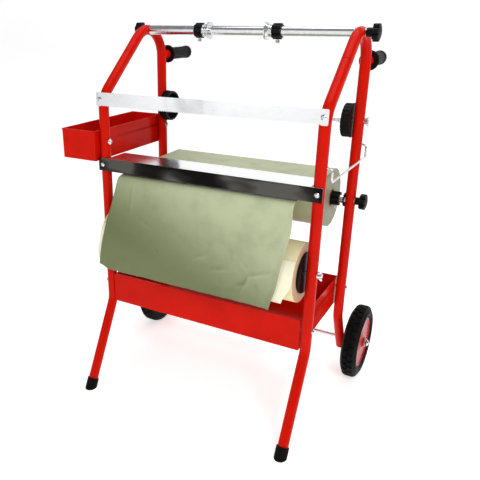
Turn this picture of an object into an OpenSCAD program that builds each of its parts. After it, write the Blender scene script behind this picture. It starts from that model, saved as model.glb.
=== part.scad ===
// Wheeled roll dispenser: two bent tube frames, cutting strips, trays and rolls.
// Millimetres, +X to the right side, -Y to the front, +Z up, origin on the floor midway between the frames.

/* [Frame] */
// Distance between the centre planes of the two side frames
frame_spacing = 544; // [440:1:900]
// Distance from the front legs to the rear legs
frame_depth = 265.5; // [230:0.5:340]
// Height of the bend where each front leg leans back
shoulder_height = 754; // [740:1:1000]
// Height of the bend where each front leg flares to its foot
flare_height = 219; // [180:1:260]
// How far each front foot stands ahead of its leg
foot_reach = 118.5; // [60:0.5:160]
// Angle of the leaned-back top tube above the horizontal
lean_angle = 40; // [30:1:50]
// Radius of the bow over the top rod
bow_radius = 68; // [60:1:90]
// Height of the bend where each rear leg kicks back to the axle
kick_height = 186; // [160:1:230]
// Outside diameter of the frame tube
tube_diameter = 25; // [22:0.5:30]
// Wall of the frame tube
tube_wall = 1.5; // [1:0.1:2.5]

/* [Rolls] */
// Outside diameter of the paper roll
paper_diameter = 146.6; // [70:0.1:180]
// Outside diameter of the film roll
film_diameter = 135; // [92:0.5:170]
// Height of the paper roll's axis
paper_height = 508; // [480:1:520]
// Height of the film roll's axis
film_height = 411; // [400:1:420]
// Diameter of the two long rods
rod_diameter = 22; // [18:0.5:24]

/* [Trays and strips] */
// Width of the side tray, out from the left frame
side_tray_width = 101; // [60:1:130]
// Height of the side tray's walls
side_tray_depth = 73.5; // [40:0.5:90]
// Height of the bottom tray's walls
bottom_tray_depth = 77.5; // [40:0.5:95]
// Thickness of the tray sheet
sheet = 1.5; // [1:0.1:2.5]
// Height of the face of each cutting strip
strip_height = 32; // [20:1:40]

/* [Wheels] */
// Diameter of each wheel
wheel_diameter = 200; // [160:1:204]
// Width of each tyre
tyre_width = 42; // [30:1:56]
// Diameter of the wheel axle
axle_diameter = 12; // [8:0.5:14]

/* [Hidden] */
$fn = 64;

fit = 0.05;         // radial clearance of a pin in its hole
gap = 0.4;          // air between two bodies that pass each other
half = frame_spacing / 2;
stand_shift = 18;
tube_r = tube_diameter / 2;
inner_face = half - tube_r;
outer_face = half + tube_r;
front_y = -144.5;
rear_y = front_y + frame_depth;

// the frame's centreline, as [y, z] points in the plane of one side
foot_drop = 60;
foot_lean = atan(foot_reach / flare_height);
foot_start = [front_y - foot_reach - foot_drop * tan(foot_lean), -foot_drop];
flare_point = [front_y, flare_height];
shoulder_point = [front_y, shoulder_height];
joint_run = 140;
joint_point = shoulder_point + joint_run * [cos(lean_angle), sin(lean_angle)];
crown_point = [rear_y, shoulder_height + frame_depth * tan(lean_angle)];
bow_turn = 90 + lean_angle;
bow_tangent = bow_radius * tan(bow_turn / 2);
bow_center = [rear_y - bow_radius, crown_point[1] - bow_tangent];
kick_point = [rear_y, kick_height];
kick_angle = 28.5;
kick_run = 138.5;
tail_point = kick_point + kick_run * [sin(kick_angle), -cos(kick_angle)];
bend_radius = 60;
bend_thinning = 0.12;
spigot_length = 40;
front_path = [foot_start, flare_point, shoulder_point, joint_point];
front_bends = [0, bend_radius, bend_radius, 0];
bow_path = [joint_point, crown_point, kick_point, tail_point];
bow_bends = [0, bow_radius, bend_radius, 0];

// heights of what is fixed to the legs
strip_gap = 0.5;
strip_thickness = 2;
strip_y = front_y - tube_r - strip_gap;
upper_strip_z = shoulder_height - 4;
lower_strip_z = 593;
strip_reach = 12;
flange_depth = 74;
flange_clear = 1.5;
hub_bolt_r = 5;
tape_z = 702;
tape_r = 39;
tray_bolt_z = 272;
side_bolt_z = 648;
small_bolt_r = 3;
screw_r = 2.5;
rod_r = rod_diameter / 2;
rod_end_r = 8;
top_rod_y = bow_center[0];
top_rod_z = bow_center[1] + bow_radius;
stud_r = 5;
stud_length = 20;
handle_z = bow_center[1] + 4;
handle_r = 11;
handle_end = rear_y + 139;
grip_start = rear_y + 29;

// wheels
axle_r = axle_diameter / 2;
wheel_r = wheel_diameter / 2;
axle_z = wheel_r;
axle_y = rear_y + (kick_height - axle_z) * tan(kick_angle);
wheel_x = outer_face + 14.5 + tyre_width / 2;
wheel_out = wheel_x + tyre_width / 2;
rim_r = 0.68 * wheel_r;

// rolls
paper_half = half - 47;
paper_r = paper_diameter / 2;
film_r = film_diameter / 2;
film_half = half - 20;
core_bore_r = 20.05;
core_wall = 4;
film_core_r = 38.1;
sheet_gap = 1.2;
sheet_thick = 1;

function unit(v) = v / norm(v);
function cross2(a, b) = a[0] * b[1] - a[1] * b[0];
function heading(v) = atan2(v[1], v[0]);
function turn(p, i) = acos(unit(p[i] - p[i - 1]) * unit(p[i + 1] - p[i]));
function trim(p, r, i) = r[i] > 0 ? r[i] * tan(turn(p, i) / 2) : 0;

// stands a flat [y, z] drawing up at x
module at_x(x) {
    translate([x, 0, 0])
        rotate([90, 0, 90])
            children();
}

module for_sides() {
    for (side = [-1, 1])
        scale_x(side)
            children();
}

module scale_x(side) {
    multmatrix([[side, 0, 0, 0], [0, 1, 0, 0], [0, 0, 1, 0], [0, 0, 0, 1]])
        children();
}

// a round bar along +X from x0 to x1 at [y, z]
module bar_x(x0, x1, y, z, r) {
    translate([x0, y, z])
        rotate([0, 90, 0])
            cylinder(h = x1 - x0, r = r);
}

// a round bar that follows points p with bend radii r, in the drawing plane;
// each bend is drawn a hair slimmer
module swept_bar(p, r, radius, lead = 0, tail = 0) {
    last = len(p) - 1;
    lap = 0.3;
    for (i = [0 : last - 1]) {
        along = unit(p[i + 1] - p[i]);
        from = p[i] + (i == 0 ? -lead : trim(p, r, i) - lap) * along;
        to = p[i + 1] - (i == last - 1 ? -tail : trim(p, r, i + 1) - lap) * along;
        translate([from[0], from[1], 0])
            rotate([0, 90, heading(along)])
                cylinder(h = norm(to - from), r = radius);
    }
    for (i = [1 : last - 1]) {
        before = unit(p[i] - p[i - 1]);
        after = unit(p[i + 1] - p[i]);
        side = cross2(before, after) > 0 ? 1 : -1;
        middle = p[i] - trim(p, r, i) * before + side * r[i] * [-before[1], before[0]];
        translate([middle[0], middle[1], 0])
            rotate([0, 0, side > 0 ? heading(before) - 90 : heading(after) + 90])
                rotate_extrude(angle = turn(p, i), $fn = 96)
                    translate([r[i], 0])
                        circle(r = radius - bend_thinning, $fn = 48);
    }
}

// bolt and rod holes along X through a tube
module cross_holes(holes) {
    for (h = holes)
        bar_x(inner_face - 5, outer_face + 5, h[0], h[1], h[2] + fit);
}

module screw_holes() {
    for (z = [upper_strip_z, lower_strip_z])
        translate([half, front_y - tube_r - 5, z])
            rotate([-90, 0, 0])
                cylinder(h = tube_diameter / 2 + 5, r = screw_r + fit);
}

front_holes = [
    [front_y, film_height, hub_bolt_r],
    [front_y, tray_bolt_z, small_bolt_r],
    [front_y, side_bolt_z, small_bolt_r]];
rear_holes = [
    [rear_y, paper_height, rod_end_r],
    [rear_y, tape_z, hub_bolt_r],
    [rear_y, tray_bolt_z, small_bolt_r],
    [rear_y, side_bolt_z, small_bolt_r],
    [axle_y, axle_z, axle_r],
    [top_rod_y, top_rod_z, rod_end_r]];

module front_leg() {
    cap_floor = 4;
    difference() {
        at_x(half)
            swept_bar(front_path, front_bends, tube_r);
        at_x(half)
            swept_bar(front_path, front_bends, tube_r - tube_wall, 2, 2);
        translate([half - 50, front_y - foot_reach - 150, -100 + cap_floor])
            cube([100, 300, 100]);
        cross_holes(front_holes);
        screw_holes();
    }
}

module bow_tube() {
    seam = 1.2;
    spigot_r = tube_r - tube_wall - fit;
    start = joint_point + seam * [cos(lean_angle), sin(lean_angle)];
    difference() {
        union() {
            at_x(half)
                swept_bar([start, crown_point, kick_point, tail_point], bow_bends, tube_r);
            at_x(half)
                translate([start[0], start[1], 0])
                    rotate([0, 90, lean_angle + 180])
                        translate([0, 0, -2])
                            cylinder(h = spigot_length + 2, r = spigot_r);
        }
        at_x(half)
            swept_bar(bow_path, bow_bends, spigot_r - tube_wall, spigot_length + 5, 2);
        cross_holes(rear_holes);
    }
}

module front_leg_left() {
    color([0.78, 0.06, 0.04])
        scale_x(-1)
            front_leg();
}

module front_leg_right() {
    color([0.78, 0.06, 0.04])
        front_leg();
}

module bow_tube_left() {
    color([0.78, 0.06, 0.04])
        scale_x(-1)
            bow_tube();
}

module bow_tube_right() {
    color([0.78, 0.06, 0.04])
        bow_tube();
}

module foot_caps() {
    cap_r = tube_r + 2.5;
    cap_length = 26;
    cap_floor = 4;
    foot = [front_y - foot_reach, 0];
    color([0.06, 0.06, 0.06])
        for_sides()
            difference() {
                at_x(half)
                    translate([foot[0], foot[1], 0])
                        rotate([0, 90, 90 - foot_lean])
                            translate([0, 0, -30])
                                cylinder(h = cap_length + 30, r = cap_r);
                difference() {
                    at_x(half)
                        translate([foot[0], foot[1], 0])
                            rotate([0, 90, 90 - foot_lean])
                                translate([0, 0, -30])
                                    cylinder(h = cap_length + 35, r = tube_r + fit);
                    translate([half - 50, foot[0] - 100, -100 + cap_floor - fit])
                        cube([100, 200, 100]);
                }
                translate([half - 50, foot[0] - 100, -100])
                    cube([100, 200, 100]);
            }
}

module handle_stubs() {
    bore_r = handle_r - tube_wall;
    color([0.78, 0.06, 0.04])
        for_sides()
            difference() {
                translate([half, rear_y, handle_z])
                    rotate([-90, 0, 0])
                        cylinder(h = handle_end - 4 - rear_y, r = handle_r);
                translate([half, rear_y - 1, handle_z])
                    rotate([-90, 0, 0])
                        cylinder(h = handle_end - rear_y, r = bore_r);
                at_x(half)
                    swept_bar(bow_path, bow_bends, tube_r + fit);
            }
}

module grip() {
    grip_r = 14.6;
    flange_r = 23;
    flange_width = 5;
    bulge_r = 17;
    ribs = 18;
    rib_r = 1.6;
    length = handle_end - grip_start;
    bore_r = handle_r + fit;
    translate([half, grip_start, handle_z])
        rotate([-90, 0, 0]) {
            rotate_extrude()
                polygon([[bore_r, 0], [flange_r - 1, 0], [flange_r, 1], [flange_r, flange_width - 1],
                    [flange_r - 1, flange_width], [grip_r + 4, flange_width], [grip_r, flange_width + 6],
                    [grip_r, length - 18], [bulge_r, length - 13], [bulge_r, length - 5],
                    [bulge_r - 4, length], [0, length], [0, length - 3], [bore_r, length - 3]]);
            for (i = [0 : ribs - 1])
                rotate(i * 360 / ribs)
                    translate([grip_r - 0.4, 0, flange_width + 2])
                        cylinder(h = length - flange_width - 18, r = rib_r, $fn = 24);
        }
}

module grip_left() {
    color([0.07, 0.07, 0.07])
        scale_x(-1)
            grip();
}

module grip_right() {
    color([0.07, 0.07, 0.07])
        grip();
}

module upper_cutter() {
    reach = half + 10;
    tooth = 6;
    tooth_depth = 2.5;
    corner = 2;
    count = floor((2 * reach - 2 * corner - 30) / tooth);
    start = -count * tooth / 2;
    low = upper_strip_z - strip_height / 2;
    high = upper_strip_z + strip_height / 2;
    teeth = [for (i = [0 : 2 * count]) [start + i * tooth / 2, low + (i % 2 == 0 ? tooth_depth : 0)]];
    color([0.8, 0.81, 0.83])
        difference() {
            translate([0, strip_y, 0])
                rotate([90, 0, 0])
                    linear_extrude(height = strip_thickness)
                        polygon(concat(
                            [[-reach + corner, low], [start - 6, low]],
                            teeth,
                            [[-start + 6, low], [reach - corner, low], [reach, low + corner],
                            [reach, high - corner], [reach - corner, high], [-reach + corner, high],
                            [-reach, high - corner], [-reach, low + corner]]));
            for_sides()
                translate([half, strip_y + 1, upper_strip_z])
                    rotate([90, 0, 0])
                        cylinder(h = strip_thickness + 2, r = screw_r + fit);
        }
}

module lower_cutter() {
    reach = half + strip_reach;
    flange_half = inner_face - flange_clear;
    low = lower_strip_z - strip_height / 2;
    high = lower_strip_z + strip_height / 2;
    color([0.75, 0.76, 0.78])
        difference() {
            union() {
                translate([-reach, strip_y - strip_thickness, low])
                    cube([2 * reach, strip_thickness, strip_height]);
                translate([-flange_half, strip_y - strip_thickness, high - strip_thickness])
                    cube([2 * flange_half, flange_depth, strip_thickness]);
            }
            for_sides()
                translate([half, strip_y + 1, lower_strip_z])
                    rotate([90, 0, 0])
                        cylinder(h = strip_thickness + 2, r = screw_r + fit);
        }
}

module cutter_screws() {
    head_r = 5.5;
    head = 3;
    shank = 12;
    color([0.7, 0.71, 0.73])
        for_sides()
            for (z = [upper_strip_z, lower_strip_z])
                translate([half, strip_y - strip_thickness - fit, z])
                    rotate([-90, 0, 0])
                        difference() {
                            union() {
                                cylinder(h = shank, r = screw_r);
                                translate([0, 0, -1.2])
                                    cylinder(h = 1.2, r = head_r);
                                translate([0, 0, -head])
                                    cylinder(h = head - 1.2, r1 = 3, r2 = head_r);
                            }
                            for (a = [0, 90])
                                rotate(a)
                                    translate([-2.5, -0.5, -head - 1])
                                        cube([5, 1, 2.2]);
                        }
}

module side_tray() {
    x1 = -outer_face - 0.5;
    x0 = x1 - side_tray_width;
    y0 = front_y - 26;
    y1 = rear_y + 17;
    z0 = side_bolt_z - 47.5;
    z1 = z0 + side_tray_depth;
    color([0.78, 0.06, 0.04])
        difference() {
            union() {
                difference() {
                    translate([x0, y0, z0])
                        cube([side_tray_width, y1 - y0, side_tray_depth]);
                    translate([x0 + sheet, y0 + sheet, z0 + sheet])
                        cube([side_tray_width - 2 * sheet, y1 - y0 - 2 * sheet, side_tray_depth]);
                }
                translate([x0 - 1, y0 - 1, z1 - 3])
                    difference() {
                        cube([side_tray_width + 1, y1 - y0 + 2, 3]);
                        translate([1 + sheet, 1 + sheet, -1])
                            cube([side_tray_width - 2 * sheet, y1 - y0 - 2 * sheet, 5]);
                    }
            }
            for (y = [front_y, rear_y])
                bar_x(x1 - sheet - 5, x1 + 5, y, side_bolt_z, small_bolt_r + fit);
        }
}

// a cross bolt with a dome head at x_head and its nut past x_nut, along +X
module cross_bolt(x_head, x_nut, y, z, r, head_r, nut_r) {
    head = 0.75 * head_r;
    nut = 1.1 * r + 1.5;
    out = x_nut > x_head ? 1 : -1;
    translate([x_head, y, z])
        rotate([0, 90 * out, 0]) {
            length = abs(x_nut - x_head);
            cylinder(h = length + nut + 3, r = r);
            translate([0, 0, -0.4 * head])
                cylinder(h = 0.4 * head, r = head_r);
            translate([0, 0, -0.4 * head - 0.6 * head])
                cylinder(h = 0.6 * head, r1 = 0.55 * head_r, r2 = head_r);
            translate([0, 0, length])
                cylinder(h = nut, r = nut_r, $fn = 6);
        }
}

module side_tray_bolts() {
    far_side = -outer_face - 0.5 - sheet - fit;
    color([0.75, 0.76, 0.78])
        for (y = [front_y, rear_y])
            cross_bolt(-inner_face + fit, far_side, y, side_bolt_z, small_bolt_r, 7, 5.5);
}

module bottom_tray() {
    x_half = inner_face - 1.5;
    y0 = front_y - 9.5;
    y1 = rear_y + 9;
    z0 = 219.5;
    lip = 6;
    color([0.78, 0.06, 0.04])
        difference() {
            union() {
                difference() {
                    translate([-x_half, y0, z0])
                        cube([2 * x_half, y1 - y0, bottom_tray_depth]);
                    translate([-x_half + sheet, y0 + sheet, z0 + sheet])
                        cube([2 * (x_half - sheet), y1 - y0 - 2 * sheet, bottom_tray_depth]);
                }
                translate([-x_half, y0, z0 + bottom_tray_depth - sheet])
                    cube([2 * x_half, lip, sheet]);
                translate([-x_half, y1 - lip, z0 + bottom_tray_depth - sheet])
                    cube([2 * x_half, lip, sheet]);
            }
            for (y = [front_y, rear_y])
                bar_x(-x_half - 5, x_half + 5, y, tray_bolt_z, small_bolt_r + fit);
        }
}

module bottom_tray_bolts() {
    far_side = inner_face - 1.5 - sheet - fit;
    color([0.75, 0.76, 0.78])
        for_sides()
            for (y = [front_y, rear_y])
                cross_bolt(outer_face + fit, far_side, y, tray_bolt_z, small_bolt_r, 6, 5);
}

// a long rod along X whose ends are turned down to pass through the tubes
module long_rod(y, z) {
    tip = outer_face - 0.2;
    shoulder = inner_face - 0.1;
    difference() {
        union() {
            bar_x(-tip, tip, y, z, rod_end_r);
            bar_x(-shoulder, shoulder, y, z, rod_r);
        }
        for_sides()
            bar_x(tip - stud_length - 6, tip + 1, y, z, stud_r + fit);
    }
}

module top_rod() {
    color([0.8, 0.81, 0.83])
        long_rod(top_rod_y, top_rod_z);
}

module roll_rod() {
    color([0.8, 0.81, 0.83])
        long_rod(rear_y, paper_height);
}

module rod_washers() {
    color([0.08, 0.08, 0.08])
        for_sides()
            difference() {
                bar_x(inner_face - 2.6, inner_face - 0.1, rear_y, paper_height, rod_r + 6);
                bar_x(inner_face - 4, inner_face + 1, rear_y, paper_height, rod_r + fit);
            }
}

// a lobed head along +Z with a domed face
module lobed(r, h, lobes, lobe_r, crown) {
    dome_r = (r * r + crown * crown) / (2 * crown);
    intersection() {
        linear_extrude(height = h) {
            circle(r = r - lobe_r);
            for (i = [0 : lobes - 1])
                rotate(i * 360 / lobes)
                    translate([r - lobe_r, 0])
                        circle(r = lobe_r, $fn = 32);
        }
        translate([0, 0, h - dome_r])
            sphere(r = dome_r, $fn = 96);
    }
}

module star_knob(neck, r, h, y, z) {
    translate([outer_face + gap, y, z])
        rotate([0, 90, 0]) {
            cylinder(h = neck, r = rod_end_r + 1.5);
            translate([0, 0, neck - 2])
                lobed(r, h, 7, 6, 4);
            translate([0, 0, -stud_length])
                cylinder(h = stud_length + 1, r = stud_r);
        }
}

module top_knob_left() {
    color([0.07, 0.07, 0.07])
        scale_x(-1)
            star_knob(3, 19, 16, top_rod_y, top_rod_z);
}

module top_knob_right() {
    color([0.07, 0.07, 0.07])
        star_knob(16, 19, 16, top_rod_y, top_rod_z);
}

module rod_knob_left() {
    color([0.07, 0.07, 0.07])
        scale_x(-1)
            star_knob(13, 19.5, 17, rear_y, paper_height);
}

module rod_knob_right() {
    color([0.07, 0.07, 0.07])
        star_knob(13, 19.5, 17, rear_y, paper_height);
}

// the adaptor's collar starts at its inner face, x_face, and grows along +X
collar_length = 22;
sleeve_length = 15;
disc_r = core_bore_r - fit;
screw_inset = 11;

module collar(x_face, r, y, z) {
    difference() {
        translate([x_face, y, z])
            rotate([0, 90, 0])
                lobed(r, collar_length, 8, 5, 2);
        bar_x(x_face - 1, x_face + collar_length + 1, y, z, rod_r + fit);
        translate([x_face + screw_inset, y, z])
            rotate([180, 0, 0])
                cylinder(h = 30, r = screw_r + fit);
    }
}

module collar_screw(x_face, r, y, z) {
    head = 7;
    translate([x_face + screw_inset, y, z - rod_r - 0.3])
        rotate([180, 0, 0]) {
            cylinder(h = r - rod_r + 4, r = screw_r);
            translate([0, 0, r - rod_r + 1])
                lobed(5, head, 6, 1.6, 1);
        }
}

module cone(x_face, y, z) {
    disc = 3;
    ring = 2;
    difference() {
        translate([x_face, y, z])
            rotate([0, -90, 0]) {
                translate([0, 0, 0.1])
                    cylinder(h = sleeve_length, r = rod_r + 2);
                translate([0, 0, 0.1])
                    cylinder(h = ring, r = rod_r + 4);
                translate([0, 0, 6])
                    cylinder(h = ring, r = rod_r + 3.5);
                translate([0, 0, sleeve_length - 5])
                    cylinder(h = 5, r1 = rod_r + 2, r2 = rod_r + 6);
                translate([0, 0, sleeve_length])
                    cylinder(h = disc, r = disc_r);
            }
        bar_x(x_face - sleeve_length - disc - 1, x_face + 1, y, z, rod_r + fit);
    }
}

top_face_right = 74;
top_face_left = 107;
rod_face = paper_half + 1;
collar_r = 18;

module top_collar_left() {
    color([0.07, 0.07, 0.07])
        scale_x(-1)
            collar(top_face_left, 17.5, top_rod_y, top_rod_z);
}

module top_collar_right() {
    color([0.07, 0.07, 0.07])
        collar(top_face_right, 17.5, top_rod_y, top_rod_z);
}

module rod_collar_left() {
    color([0.07, 0.07, 0.07])
        scale_x(-1)
            collar(rod_face, collar_r, rear_y, paper_height);
}

module rod_collar_right() {
    color([0.07, 0.07, 0.07])
        collar(rod_face, collar_r, rear_y, paper_height);
}

module top_screw_left() {
    color([0.7, 0.7, 0.7])
        scale_x(-1)
            collar_screw(top_face_left, 17.5, top_rod_y, top_rod_z);
}

module top_screw_right() {
    color([0.7, 0.7, 0.7])
        collar_screw(top_face_right, 17.5, top_rod_y, top_rod_z);
}

module rod_screw_left() {
    color([0.7, 0.7, 0.7])
        scale_x(-1)
            collar_screw(rod_face, collar_r, rear_y, paper_height);
}

module rod_screw_right() {
    color([0.7, 0.7, 0.7])
        collar_screw(rod_face, collar_r, rear_y, paper_height);
}

module top_cone_left() {
    color([0.85, 0.86, 0.88])
        scale_x(-1)
            cone(top_face_left, top_rod_y, top_rod_z);
}

module top_cone_right() {
    color([0.85, 0.86, 0.88])
        cone(top_face_right, top_rod_y, top_rod_z);
}

module rod_cone_left() {
    color([0.85, 0.86, 0.88])
        scale_x(-1)
            cone(rod_face, rear_y, paper_height);
}

module rod_cone_right() {
    color([0.85, 0.86, 0.88])
        cone(rod_face, rear_y, paper_height);
}

module tube_x(half_length, y, z, outer, inner) {
    difference() {
        bar_x(-half_length, half_length, y, z, outer);
        bar_x(-half_length - 1, half_length + 1, y, z, inner);
    }
}

module paper_roll() {
    color([0.64, 0.68, 0.5])
        tube_x(paper_half, rear_y, paper_height, paper_r, core_bore_r + core_wall + fit);
}

module paper_core() {
    color([0.6, 0.5, 0.38])
        tube_x(paper_half, rear_y, paper_height, core_bore_r + core_wall, core_bore_r);
}

module film_roll() {
    color([0.93, 0.9, 0.72])
        tube_x(film_half, front_y, film_height, film_r, film_core_r + core_wall + fit);
}

module film_core() {
    color([0.6, 0.5, 0.38])
        tube_x(film_half, front_y, film_height, film_core_r + core_wall, film_core_r);
}

// a band of the given thickness along [y, z] points
module band(p, t) {
    back = [for (i = [len(p) - 1 : -1 : 0]) p[i] + t * band_normal(p, i)];
    polygon(concat(p, back));
}

function band_normal(p, i) =
    let (a = p[max(i - 1, 0)], b = p[min(i + 1, len(p) - 1)], d = unit(b - a)) [-d[1], d[0]];

module hanging_sheet() {
    roll_top = paper_height + paper_r + sheet_gap;
    edge = [strip_y - strip_thickness - 5, lower_strip_z - strip_height / 2 - 8];
    bulge = film_r + 8;
    arc = [for (a = [130 : 10 : 190]) [front_y + bulge * cos(a), film_height + bulge * sin(a)]];
    path = concat([[rear_y, roll_top], [rear_y - 90, roll_top - 3], [front_y + 8, edge[1] + 5.5],
        [front_y - 10, edge[1] + 3.5], edge], arc, [[front_y - bulge + 4, film_height - 70]]);
    color([0.6, 0.66, 0.45])
        at_x(-paper_half + 4)
            linear_extrude(height = 2 * paper_half)
                band(path, -sheet_thick);
}

module film_flap() {
    edge_x = film_half - 3;
    reach = film_r + 3;
    path = [for (a = [100 : 10 : 200]) [front_y + reach * cos(a), film_height + reach * sin(a)]];
    color([0.93, 0.9, 0.72])
        at_x(-edge_x)
            linear_extrude(height = 2 * edge_x)
                band(path, -sheet_thick);
}

module roll_hub() {
    flange = min(5, inner_face - film_half - 1);
    flange_r = 46;
    plug = 26;
    start = film_half + 0.5;
    difference() {
        union() {
            bar_x(start, start + flange, front_y, film_height, flange_r);
            bar_x(start - plug, start + 1, front_y, film_height, film_core_r - fit);
        }
        bar_x(start - plug - 1, start + flange + 1, front_y, film_height, hub_bolt_r + fit);
    }
}

module roll_hub_left() {
    color([0.07, 0.07, 0.07])
        scale_x(-1)
            roll_hub();
}

module roll_hub_right() {
    color([0.07, 0.07, 0.07])
        roll_hub();
}

module film_bolts() {
    inner = film_half - 40;
    head = 7;
    color([0.75, 0.76, 0.78])
        for_sides() {
            bar_x(inner, outer_face + 10, front_y, film_height, hub_bolt_r);
            translate([inner, front_y, film_height])
                rotate([0, -90, 0])
                    cylinder(h = head, r = 9, $fn = 6);
        }
}

module film_nut_left() {
    color([0.75, 0.76, 0.78])
        scale_x(-1)
            difference() {
                translate([outer_face + gap, front_y, film_height])
                    rotate([0, 90, 0])
                        cylinder(h = 8, r = 9, $fn = 6);
                bar_x(outer_face, outer_face + 10, front_y, film_height, hub_bolt_r + fit);
            }
}

// a wing nut along +X outside the right frame
module wing_nut(y, z) {
    start = outer_face + gap;
    boss = 7;
    wing = 2.2;
    wing_outline = [[5.5, 0], [6, -1], [11, 5], [11.5, 7.5], [10, 8.5], [7.5, 7.5], [5.5, 3.5]];
    difference() {
        translate([start, y, z])
            rotate([0, 90, 0]) {
                cylinder(h = boss, r1 = 7.2, r2 = 6.6);
                for (a = [0, 180])
                    rotate(a)
                        translate([0, 0, 2])
                            rotate([90, 0, 0])
                                translate([0, 0, -wing / 2])
                                    linear_extrude(height = wing)
                                        polygon(wing_outline);
            }
        bar_x(start - 1, start + boss + 6, y, z, hub_bolt_r + fit);
    }
}

module film_wing_nut() {
    color([0.8, 0.81, 0.83])
        wing_nut(front_y, film_height);
}

module tape_wing_nut_right() {
    color([0.8, 0.81, 0.83])
        wing_nut(rear_y, tape_z);
}

module tape_wing_nut_left() {
    color([0.8, 0.81, 0.83])
        scale_x(-1)
            wing_nut(rear_y, tape_z);
}

module tape_hub() {
    width = 20;
    start = inner_face - 1.5 - width;
    ribs = 24;
    rib_r = 2;
    shell = 3;
    difference() {
        union() {
            bar_x(start, start + width, rear_y, tape_z, tape_r - 1);
            bar_x(start + width - 3, start + width, rear_y, tape_z, tape_r + 1.2);
            for (i = [0 : ribs - 1])
                translate([start, rear_y, tape_z])
                    rotate([i * 360 / ribs, 0, 0])
                        translate([0, tape_r - 1.6, 0])
                            rotate([0, 90, 0])
                                cylinder(h = width - 3, r = rib_r, $fn = 24);
        }
        bar_x(start - 1, start + width + 1, rear_y, tape_z, hub_bolt_r + fit);
        difference() {
            bar_x(start - 1, start + width - 4, rear_y, tape_z, tape_r - 2 - shell);
            bar_x(start - 2, start + width, rear_y, tape_z, hub_bolt_r + 7);
        }
    }
}

module tape_hub_left() {
    color([0.07, 0.07, 0.07])
        scale_x(-1)
            tape_hub();
}

module tape_hub_right() {
    color([0.07, 0.07, 0.07])
        tape_hub();
}

module tape_bolts() {
    hub_face = inner_face - 22;
    nut = 8;
    color([0.75, 0.76, 0.78])
        for_sides() {
            bar_x(hub_face - 27, outer_face + 10, rear_y, tape_z, hub_bolt_r);
            bar_x(hub_face - 2.5, hub_face - 0.5, rear_y, tape_z, 10);
            for (x = [hub_face - 11, hub_face - 20])
                translate([x, rear_y, tape_z])
                    rotate([0, 90, 0])
                        cylinder(h = nut, r = 9, $fn = 6);
        }
}

module wheel_axle() {
    color([0.75, 0.76, 0.78])
        bar_x(-wheel_out - 4, wheel_out + 4, axle_y, axle_z, axle_r);
}

module axle_spacers() {
    color([0.08, 0.08, 0.08])
        for_sides()
            difference() {
                bar_x(outer_face + 0.3, wheel_x - tyre_width / 2 + 2, axle_y, axle_z, axle_r + 4);
                bar_x(outer_face - 1, wheel_x, axle_y, axle_z, axle_r + fit);
            }
}

module axle_caps() {
    color([0.8, 0.81, 0.83])
        for_sides()
            difference() {
                translate([wheel_out + 0.5, axle_y, axle_z])
                    rotate([0, 90, 0])
                        union() {
                            cylinder(h = 2, r = axle_r + 5);
                            cylinder(h = 6, r = axle_r + 3);
                            translate([0, 0, 6])
                                cylinder(h = 4, r1 = axle_r + 3, r2 = axle_r - 1);
                        }
                bar_x(wheel_out - 1, wheel_out + 4 + fit, axle_y, axle_z, axle_r + fit);
            }
}

module tyre() {
    lugs = 30;
    lug_depth = 3;
    base = wheel_r - lug_depth;
    w = tyre_width / 2;
    translate([wheel_x, axle_y, axle_z])
        rotate([0, 90, 0]) {
            rotate_extrude($fn = 120)
                polygon([[rim_r, -w + 6], [rim_r + 8, -w + 1], [base - 12, -w], [base - 3, -w + 6],
                    [base, -w + 13], [base, w - 13], [base - 3, w - 6], [base - 12, w],
                    [rim_r + 8, w - 1], [rim_r, w - 6]]);
            difference() {
                rotate_extrude($fn = 120)
                    polygon([[base - 6, -w + 3], [wheel_r - 2, -w + 7], [wheel_r, -w + 12],
                        [wheel_r, w - 12], [wheel_r - 2, w - 7], [base - 6, w - 3]]);
                for (i = [0 : lugs - 1])
                    for (s = [0, 1])
                        rotate((i + s / 2) * 360 / lugs)
                            translate([base, -3.5, s == 0 ? 1.5 : -w])
                                cube([lug_depth + 5, 7, w - 1.5]);
                rotate_extrude()
                    translate([base, -1.5])
                        square([lug_depth + 5, 3]);
            }
        }
}

module tyre_left() {
    color([0.06, 0.06, 0.06])
        scale_x(-1)
            tyre();
}

module tyre_right() {
    color([0.06, 0.06, 0.06])
        tyre();
}

module wheel_rim() {
    w = tyre_width / 2;
    seat = rim_r - fit;
    wall = 3;
    boss_r = axle_r + 8;
    translate([wheel_x, axle_y, axle_z])
        rotate([0, 90, 0])
            difference() {
                union() {
                    rotate_extrude($fn = 96)
                        polygon([[seat - wall, -w + 5], [seat, -w + 5], [seat, w - 5], [seat - 4, w - 4],
                            [seat - 6, w - 7], [boss_r + 16, w - 9], [boss_r, w - 4], [boss_r, w - 12],
                            [seat - wall, w - 12]]);
                    translate([0, 0, -w + 3])
                        cylinder(h = 2 * w - 4, r = boss_r);
                    rotate_extrude($fn = 96)
                        polygon([[boss_r - 1, -w + 10], [seat - wall + 1, -w + 10],
                            [seat - wall + 1, -w + 13], [boss_r - 1, -w + 13]]);
                }
                translate([0, 0, -w - 1])
                    cylinder(h = 2 * w + 2, r = axle_r + fit);
            }
}

module wheel_rim_left() {
    color([0.75, 0.06, 0.05])
        scale_x(-1)
            wheel_rim();
}

module wheel_rim_right() {
    color([0.75, 0.06, 0.05])
        wheel_rim();
}

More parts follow.
